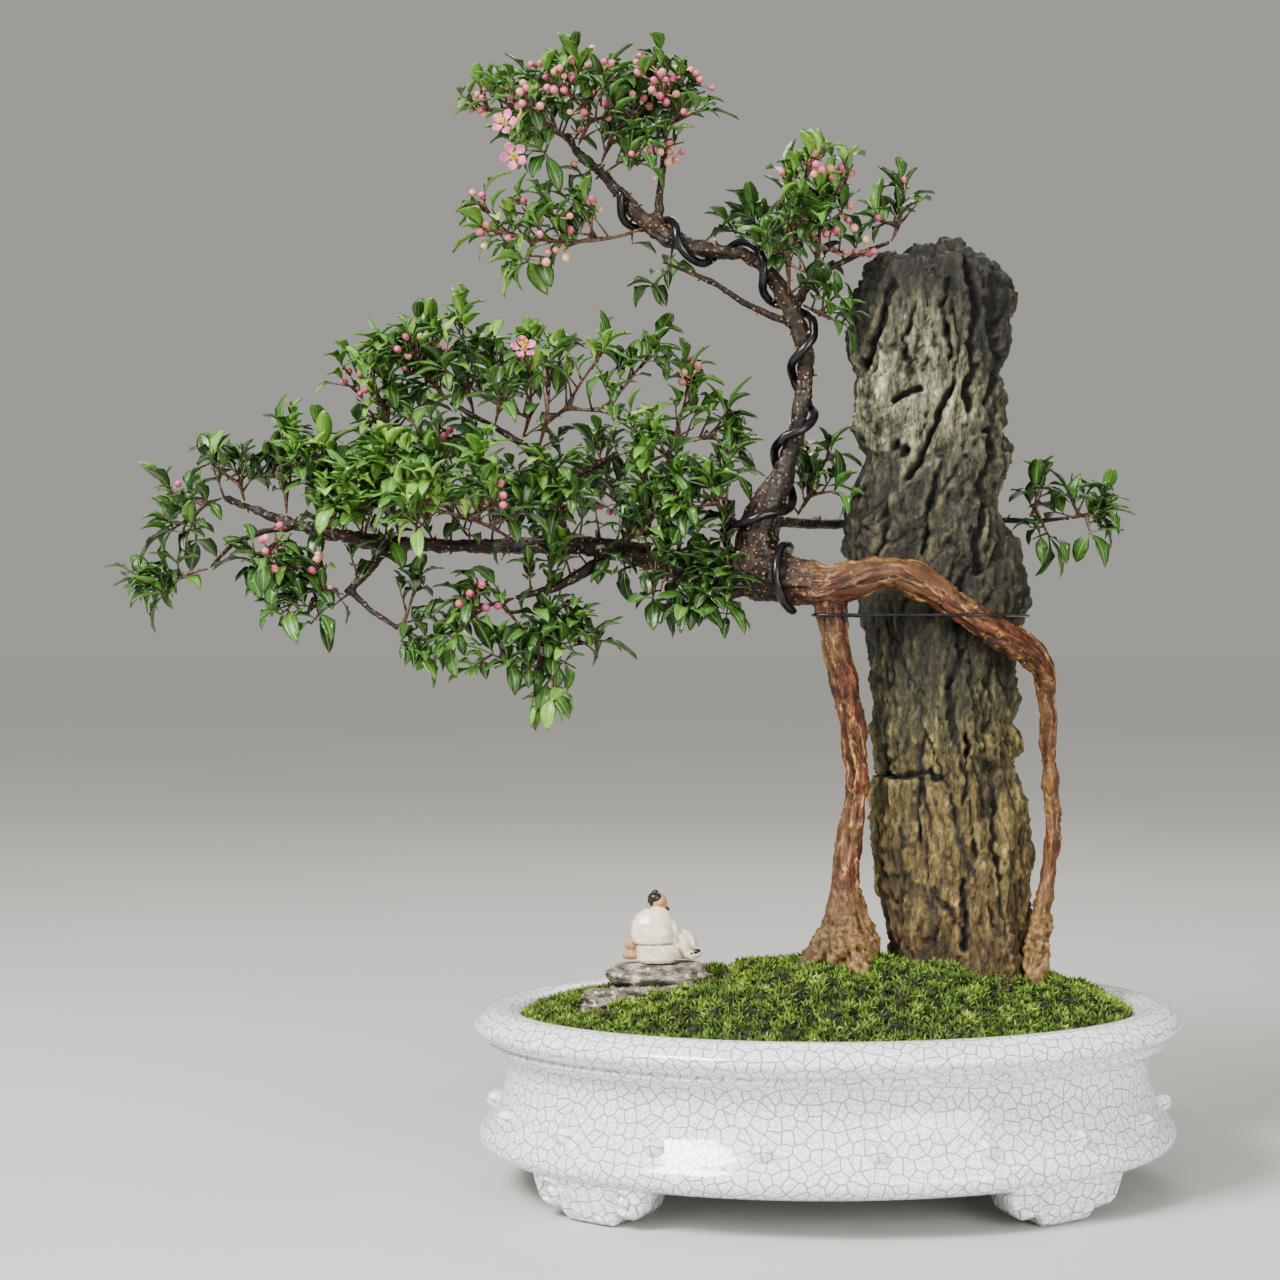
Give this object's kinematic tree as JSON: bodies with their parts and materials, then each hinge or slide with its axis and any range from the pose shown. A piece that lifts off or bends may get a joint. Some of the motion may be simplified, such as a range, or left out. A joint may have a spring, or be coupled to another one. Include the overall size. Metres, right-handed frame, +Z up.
{
  "type": "potted bonsai",
  "caption": "Root-over-rock bonsai: a wired, flowering small tree whose bare roots straddle a tall stone, in a glazed oval pot with moss and a seated figurine.",
  "frame": {"origin": "on the surface the feet stand on, under the middle of the whole object's bounds", "axes": "+X to the viewer's right, the side the rock stands on; +Y away from the viewer; +Z up"},
  "size_m": [0.5302, 0.272, 0.565],
  "materials": {
    "glaze": "gloss",
    "soil": "matte",
    "moss": "matte",
    "rock": "matte",
    "layered_stone": "matte",
    "figure_glaze": "gloss",
    "bark": "matte",
    "wire": "satin",
    "leaf": "satin",
    "petal": "satin"
  },
  "bodies": {
    "root": {"pot": "glaze", "soil": "soil", "moss": "moss", "rock": "rock", "figure_stone": "layered_stone", "small_stone": "layered_stone", "figurine": "figure_glaze", "tree": "bark", "branch_wire": "wire", "tie_wire": "wire", "leafy_left_tip": "leaf", "leafy_left_end": "leaf", "leafy_left_high": "leaf", "leafy_left_shoot": "leaf", "leafy_left_low": "leaf", "leafy_low_out": "leaf", "leafy_low_right": "leaf", "leafy_pad_a": "leaf", "leafy_pad_b": "leaf", "leafy_pad_c": "leaf", "leafy_pad_d": "leaf", "leafy_tall": "leaf", "leafy_pad_e": "leaf", "leafy_pad_f": "leaf", "leafy_pad_g": "leaf", "leafy_pad_h": "leaf", "leafy_pad_i": "leaf", "leafy_pad_right": "leaf", "leafy_pad_front": "leaf", "leafy_pad_j": "leaf", "leafy_pad_back": "leaf", "leafy_pad_fore": "leaf", "leafy_pad_k": "leaf", "leafy_pad_l": "leaf", "leafy_pad_n": "leaf", "leafy_under_a": "leaf", "leafy_under_b": "leaf", "leafy_burl_b": "leaf", "leafy_hang_end": "leaf", "leafy_drop_end": "leaf", "leafy_drop_mid": "leaf", "leafy_crown_a": "leaf", "leafy_crown_b": "leaf", "leafy_crown_c": "leaf", "leafy_crown_d": "leaf", "leafy_crown_e": "leaf", "leafy_crown_f": "leaf", "leafy_crown_left": "leaf", "leafy_crown_g": "leaf", "leafy_crown_h": "leaf", "leafy_crown_i": "leaf", "leafy_crown_j": "leaf", "leafy_crown_k": "leaf", "leafy_gap": "leaf", "leafy_far": "leaf", "leafy_far_in": "leaf", "open_flower_1": "petal", "open_flower_2": "petal", "open_flower_3": "petal"}
  },
  "joints": []
}
